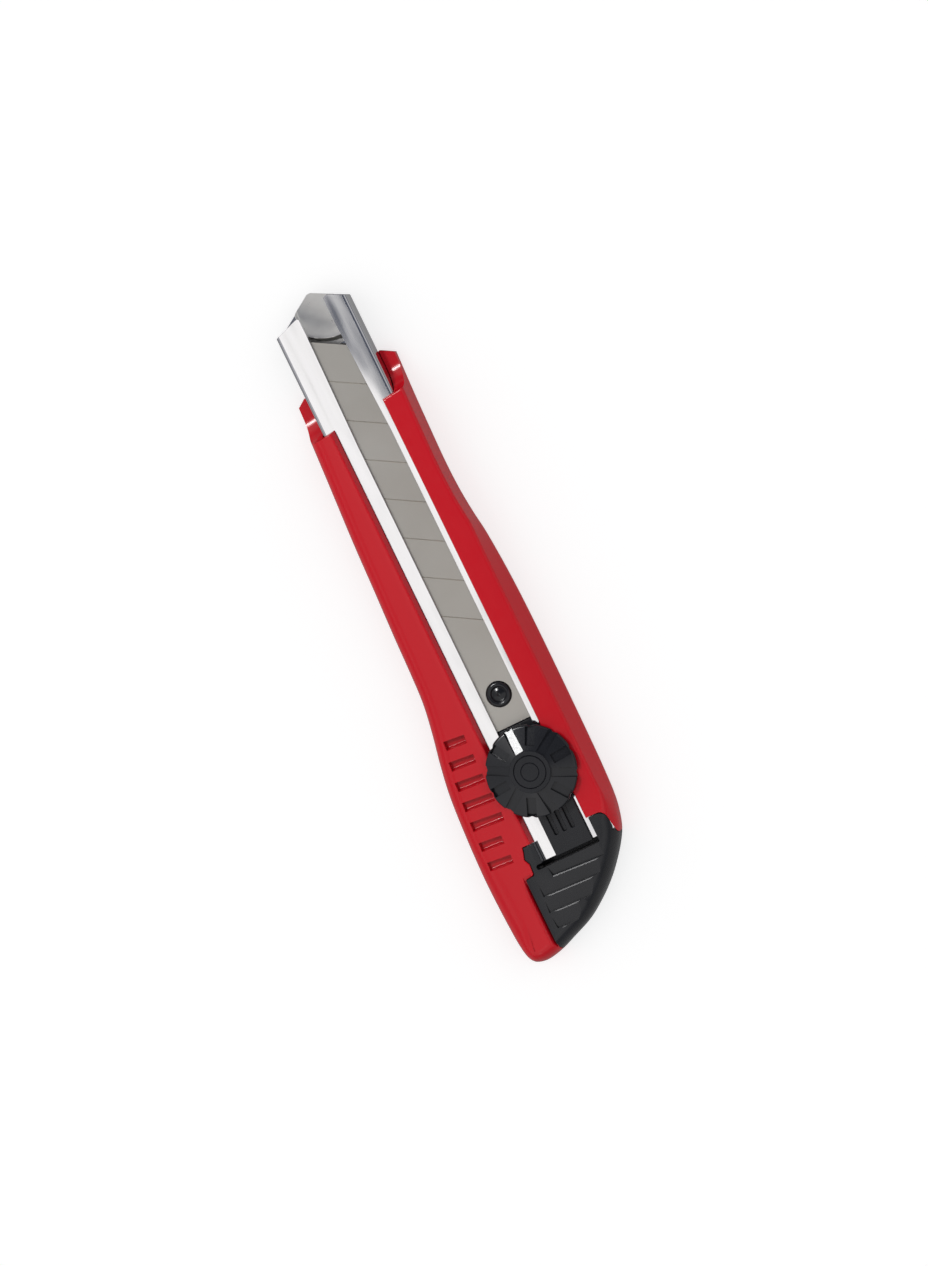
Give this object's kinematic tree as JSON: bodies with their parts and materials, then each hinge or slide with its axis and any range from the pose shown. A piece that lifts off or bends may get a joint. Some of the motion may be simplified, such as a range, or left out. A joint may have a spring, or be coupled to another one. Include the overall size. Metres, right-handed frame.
{
  "type": "snap-off utility knife",
  "caption": "Snap-off utility knife: moulded handle with a steel guide channel, scored blade on a sliding carrier, screw lock wheel and pull-off end cap.",
  "frame": {"origin": "on the lock wheel's axis, in the plane of the handle's flat back", "axes": "+Y along the knife towards the blade tip, +Z out of the front face with the wheel, +X to the right seen from the front with the tip up"},
  "size_m": [0.0368, 0.1624, 0.0119],
  "materials": {
    "handle_plastic": "glossy red moulded ABS",
    "channel_steel": "bright rolled stainless sheet",
    "blade_steel": "ground carbon steel, lightly oiled",
    "black_plastic": "satin to glossy black moulded nylon",
    "zinc_steel": "zinc plated",
    "insert_brass": "machined"
  },
  "bodies": {
    "handle": {"handle_body": "handle_plastic", "guide_channel": "channel_steel"},
    "slider": {"blade_slider": "black_plastic", "snap_blade": "blade_steel", "thrust_washer": "zinc_steel"},
    "clamp": {"clamp_plate": "zinc_steel", "clamp_stud": "zinc_steel"},
    "wheel": {"lock_wheel": "black_plastic", "threaded_insert": "insert_brass", "hub_plug": "black_plastic"},
    "cap": {"end_cap": "black_plastic"}
  },
  "joints": [
    {"name": "blade_slide", "type": "slide", "parent": "handle", "child": "slider", "axis": [0, 1, 0], "range_m": [0, 0.08]},
    {"name": "wheel_turn", "type": "hinge", "parent": "slider", "child": "wheel", "pos_m": [0, 0, 0.0076], "axis": [0, 0, 1], "range_deg": [0, 270]},
    {"name": "clamp_drop", "type": "slide", "parent": "slider", "child": "clamp", "axis": [0, 0, -1], "range_m": [0, 0.0006]},
    {"name": "cap_pull", "type": "slide", "parent": "handle", "child": "cap", "axis": [0, -1, 0], "range_m": [0, 0.03]}
  ],
  "couplings": [
    {"joint": "wheel_turn", "follows": "clamp_drop", "rad_per_m": 7853.9}
  ]
}
